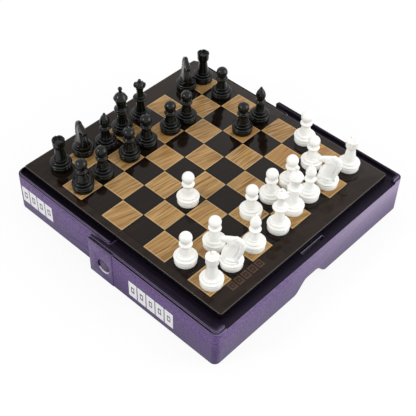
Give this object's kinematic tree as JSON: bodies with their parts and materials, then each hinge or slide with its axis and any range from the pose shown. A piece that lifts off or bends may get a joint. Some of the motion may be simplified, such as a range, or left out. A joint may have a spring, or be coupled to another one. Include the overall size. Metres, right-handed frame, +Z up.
{
  "type": "folding magnetic travel chess set",
  "caption": "Folding magnetic travel chess set: two nesting plastic half cases hinged low at the sides, a raised board panel on each half, and turned pieces with magnets in their bases.",
  "frame": {"origin": "middle of the open case's base, on the table", "axes": "+X along the players' rows to the right as seen from the white end, +Y from the white end to the black end, +Z up"},
  "size_m": [0.1608, 0.163, 0.0616],
  "materials": {
    "case_purple": "pearlescent moulded plastic, satin gloss",
    "tray_black": "moulded black plastic",
    "board_print": "printed wood-look film, glossy",
    "steel": "plain sheet",
    "black_plastic": "satin moulded plastic",
    "white_plastic": "satin moulded plastic"
  },
  "bodies": {
    "outer_case": {"outer_case_shell": "case_purple", "outer_board_tray": "tray_black", "outer_steel_sheet": "steel", "outer_board_film": "board_print", "left_hinge_pin": "case_purple", "right_hinge_pin": "case_purple"},
    "inner_case": {"inner_case_shell": "case_purple", "inner_board_tray": "tray_black", "inner_steel_sheet": "steel", "inner_board_film": "board_print"},
    "black_rook_1": {"black_rook_1": "black_plastic"},
    "black_knight_1": {"black_knight_1": "black_plastic"},
    "black_bishop_1": {"black_bishop_1": "black_plastic"},
    "black_king": {"black_king": "black_plastic"},
    "black_queen": {"black_queen": "black_plastic"},
    "black_knight_2": {"black_knight_2": "black_plastic"},
    "black_rook_2": {"black_rook_2": "black_plastic"},
    "black_pawn_1": {"black_pawn_1": "black_plastic"},
    "black_pawn_2": {"black_pawn_2": "black_plastic"},
    "black_pawn_3": {"black_pawn_3": "black_plastic"},
    "black_pawn_4": {"black_pawn_4": "black_plastic"},
    "black_pawn_5": {"black_pawn_5": "black_plastic"},
    "black_pawn_6": {"black_pawn_6": "black_plastic"},
    "black_pawn_7": {"black_pawn_7": "black_plastic"},
    "black_pawn_8": {"black_pawn_8": "black_plastic"},
    "black_bishop_2": {"black_bishop_2": "black_plastic"},
    "white_pawn_1": {"white_pawn_1": "white_plastic"},
    "white_pawn_2": {"white_pawn_2": "white_plastic"},
    "white_pawn_3": {"white_pawn_3": "white_plastic"},
    "white_pawn_4": {"white_pawn_4": "white_plastic"},
    "white_pawn_5": {"white_pawn_5": "white_plastic"},
    "white_pawn_6": {"white_pawn_6": "white_plastic"},
    "white_pawn_7": {"white_pawn_7": "white_plastic"},
    "white_pawn_8": {"white_pawn_8": "white_plastic"},
    "white_rook_1": {"white_rook_1": "white_plastic"},
    "white_knight_1": {"white_knight_1": "white_plastic"},
    "white_bishop_1": {"white_bishop_1": "white_plastic"},
    "white_queen": {"white_queen": "white_plastic"},
    "white_king": {"white_king": "white_plastic"},
    "white_bishop_2": {"white_bishop_2": "white_plastic"},
    "white_knight_2": {"white_knight_2": "white_plastic"},
    "white_rook_2": {"white_rook_2": "white_plastic"}
  },
  "joints": [
    {"name": "case_fold", "type": "hinge", "parent": "outer_case", "child": "inner_case", "pos_m": [0, 0.00195, 0.011], "axis": [-1, 0, 0], "range_deg": [0, 180]},
    {"name": "lift_black_rook_1", "type": "slide", "parent": "inner_case", "child": "black_rook_1", "axis": [0, 0, 1], "range_m": [0, 0.045]},
    {"name": "lift_black_knight_1", "type": "slide", "parent": "inner_case", "child": "black_knight_1", "axis": [0, 0, 1], "range_m": [0, 0.045]},
    {"name": "lift_black_bishop_1", "type": "slide", "parent": "inner_case", "child": "black_bishop_1", "axis": [0, 0, 1], "range_m": [0, 0.045]},
    {"name": "lift_black_king", "type": "slide", "parent": "inner_case", "child": "black_king", "axis": [0, 0, 1], "range_m": [0, 0.045]},
    {"name": "lift_black_queen", "type": "slide", "parent": "inner_case", "child": "black_queen", "axis": [0, 0, 1], "range_m": [0, 0.045]},
    {"name": "lift_black_knight_2", "type": "slide", "parent": "inner_case", "child": "black_knight_2", "axis": [0, 0, 1], "range_m": [0, 0.045]},
    {"name": "lift_black_rook_2", "type": "slide", "parent": "inner_case", "child": "black_rook_2", "axis": [0, 0, 1], "range_m": [0, 0.045]},
    {"name": "lift_black_pawn_1", "type": "slide", "parent": "inner_case", "child": "black_pawn_1", "axis": [0, 0, 1], "range_m": [0, 0.045]},
    {"name": "lift_black_pawn_2", "type": "slide", "parent": "inner_case", "child": "black_pawn_2", "axis": [0, 0, 1], "range_m": [0, 0.045]},
    {"name": "lift_black_pawn_3", "type": "slide", "parent": "inner_case", "child": "black_pawn_3", "axis": [0, 0, 1], "range_m": [0, 0.045]},
    {"name": "lift_black_pawn_4", "type": "slide", "parent": "inner_case", "child": "black_pawn_4", "axis": [0, 0, 1], "range_m": [0, 0.045]},
    {"name": "lift_black_pawn_5", "type": "slide", "parent": "inner_case", "child": "black_pawn_5", "axis": [0, 0, 1], "range_m": [0, 0.045]},
    {"name": "lift_black_pawn_6", "type": "slide", "parent": "inner_case", "child": "black_pawn_6", "axis": [0, 0, 1], "range_m": [0, 0.045]},
    {"name": "lift_black_pawn_7", "type": "slide", "parent": "inner_case", "child": "black_pawn_7", "axis": [0, 0, 1], "range_m": [0, 0.045]},
    {"name": "lift_black_pawn_8", "type": "slide", "parent": "inner_case", "child": "black_pawn_8", "axis": [0, 0, 1], "range_m": [0, 0.045]},
    {"name": "lift_black_bishop_2", "type": "slide", "parent": "inner_case", "child": "black_bishop_2", "axis": [0, 0, 1], "range_m": [0, 0.045]},
    {"name": "lift_white_pawn_1", "type": "slide", "parent": "outer_case", "child": "white_pawn_1", "axis": [0, 0, 1], "range_m": [0, 0.045]},
    {"name": "lift_white_pawn_2", "type": "slide", "parent": "outer_case", "child": "white_pawn_2", "axis": [0, 0, 1], "range_m": [0, 0.045]},
    {"name": "lift_white_pawn_3", "type": "slide", "parent": "outer_case", "child": "white_pawn_3", "axis": [0, 0, 1], "range_m": [0, 0.045]},
    {"name": "lift_white_pawn_4", "type": "slide", "parent": "outer_case", "child": "white_pawn_4", "axis": [0, 0, 1], "range_m": [0, 0.045]},
    {"name": "lift_white_pawn_5", "type": "slide", "parent": "outer_case", "child": "white_pawn_5", "axis": [0, 0, 1], "range_m": [0, 0.045]},
    {"name": "lift_white_pawn_6", "type": "slide", "parent": "outer_case", "child": "white_pawn_6", "axis": [0, 0, 1], "range_m": [0, 0.045]},
    {"name": "lift_white_pawn_7", "type": "slide", "parent": "outer_case", "child": "white_pawn_7", "axis": [0, 0, 1], "range_m": [0, 0.045]},
    {"name": "lift_white_pawn_8", "type": "slide", "parent": "outer_case", "child": "white_pawn_8", "axis": [0, 0, 1], "range_m": [0, 0.045]},
    {"name": "lift_white_rook_1", "type": "slide", "parent": "outer_case", "child": "white_rook_1", "axis": [0, 0, 1], "range_m": [0, 0.045]},
    {"name": "lift_white_knight_1", "type": "slide", "parent": "outer_case", "child": "white_knight_1", "axis": [0, 0, 1], "range_m": [0, 0.045]},
    {"name": "lift_white_bishop_1", "type": "slide", "parent": "outer_case", "child": "white_bishop_1", "axis": [0, 0, 1], "range_m": [0, 0.045]},
    {"name": "lift_white_queen", "type": "slide", "parent": "outer_case", "child": "white_queen", "axis": [0, 0, 1], "range_m": [0, 0.045]},
    {"name": "lift_white_king", "type": "slide", "parent": "outer_case", "child": "white_king", "axis": [0, 0, 1], "range_m": [0, 0.045]},
    {"name": "lift_white_bishop_2", "type": "slide", "parent": "outer_case", "child": "white_bishop_2", "axis": [0, 0, 1], "range_m": [0, 0.045]},
    {"name": "lift_white_knight_2", "type": "slide", "parent": "outer_case", "child": "white_knight_2", "axis": [0, 0, 1], "range_m": [0, 0.045]},
    {"name": "lift_white_rook_2", "type": "slide", "parent": "outer_case", "child": "white_rook_2", "axis": [0, 0, 1], "range_m": [0, 0.045]}
  ]
}
